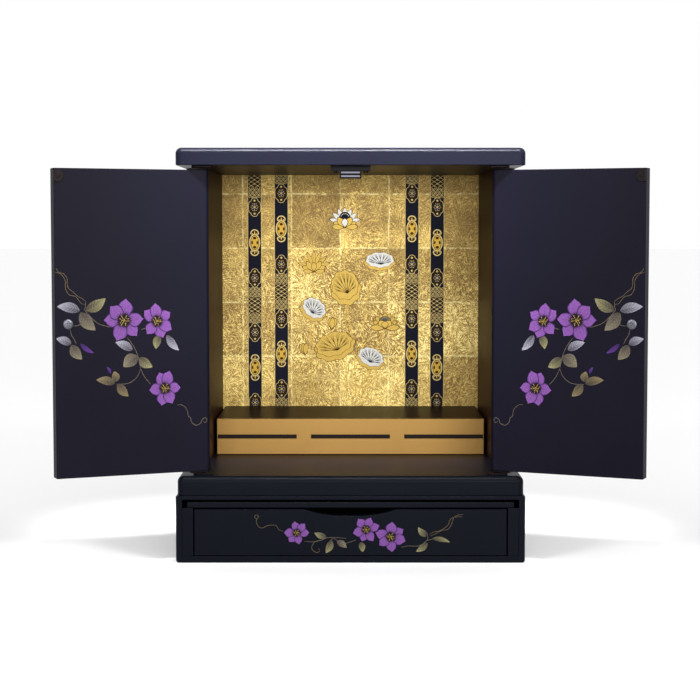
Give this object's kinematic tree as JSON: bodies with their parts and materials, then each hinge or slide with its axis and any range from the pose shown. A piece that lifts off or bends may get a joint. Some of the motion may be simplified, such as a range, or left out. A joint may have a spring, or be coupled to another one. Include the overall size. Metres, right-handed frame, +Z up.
{
  "type": "household altar cabinet",
  "caption": "Tabletop household altar cabinet: lacquered carcass with pivoted doors, gold leaf back and loose step, on a case with drawer and pull-out board.",
  "frame": {"origin": "middle of the case's underside, on the surface that the cabinet stands on", "axes": "+X to the right as one faces the open doors, +Y from front to back, +Z up"},
  "size_m": [0.6006, 0.3888, 0.43],
  "materials": {
    "black_lacquer": "satin lacquer, near black with a blue cast",
    "brown_lacquer": "gloss lacquer, dark brown",
    "stained_wood": "plain board, dark stain",
    "gold_leaf": "gold leaf on board, with a painted picture and bands",
    "satin_gold": "satin gold, finely brushed",
    "dark_metal": "dark bronze, satin",
    "bright_metal": "bright plated",
    "black_plastic": "moulded, matte"
  },
  "bodies": {
    "cabinet": {"case_side_left": "black_lacquer", "case_side_right": "black_lacquer", "case_top": "black_lacquer", "case_bottom": "black_lacquer", "case_back": "black_lacquer", "drawer_guide_left": "black_lacquer", "drawer_guide_right": "black_lacquer", "base_slab": "black_lacquer", "top_board": "black_lacquer", "side_panel_left": "black_lacquer", "side_panel_right": "black_lacquer", "back_board": "black_lacquer", "gold_leaf_panel": "gold_leaf", "step_front": "satin_gold", "step_top": "brown_lacquer", "step_side_left": "brown_lacquer", "step_side_right": "brown_lacquer", "catch_housing": "black_plastic", "catch_plate_lower": "bright_metal", "catch_plate_upper": "bright_metal", "catch_magnet": "dark_metal", "catch_screw_left": "dark_metal", "catch_screw_right": "dark_metal", "hinge_plate_lower_left": "dark_metal", "hinge_plate_upper_left": "dark_metal", "hinge_plate_lower_right": "dark_metal", "hinge_plate_upper_right": "dark_metal"},
    "pull_out": {"pull_out_board": "black_lacquer"},
    "drawer": {"drawer_front": "black_lacquer", "drawer_side_left": "stained_wood", "drawer_side_right": "stained_wood", "drawer_back": "stained_wood", "drawer_floor": "stained_wood"},
    "left_door": {"door_left": "black_lacquer", "door_pivot_lower_left": "dark_metal", "door_pivot_upper_left": "dark_metal", "knob_left": "black_lacquer", "knob_screw_left": "bright_metal", "strike_plate_left": "dark_metal", "strike_screw_left": "dark_metal"},
    "right_door": {"door_right": "black_lacquer", "door_pivot_lower_right": "dark_metal", "door_pivot_upper_right": "dark_metal", "knob_right": "black_lacquer", "knob_screw_right": "bright_metal", "strike_plate_right": "dark_metal", "strike_screw_right": "dark_metal"}
  },
  "joints": [
    {"name": "left_door_hinge", "type": "hinge", "parent": "cabinet", "child": "left_door", "pos_m": [-0.156, -0.1496, 0.25], "axis": [0, 0, -1], "range_deg": [-156.6, 23.4]},
    {"name": "right_door_hinge", "type": "hinge", "parent": "cabinet", "child": "right_door", "pos_m": [0.156, -0.1496, 0.25], "axis": [0, 0, 1], "range_deg": [-155.2, 24.8]},
    {"name": "drawer_slide", "type": "slide", "parent": "cabinet", "child": "drawer", "axis": [0, -1, 0], "range_m": [0, 0.24]},
    {"name": "pull_out_slide", "type": "slide", "parent": "cabinet", "child": "pull_out", "axis": [0, -1, 0], "range_m": [0, 0.2]}
  ]
}
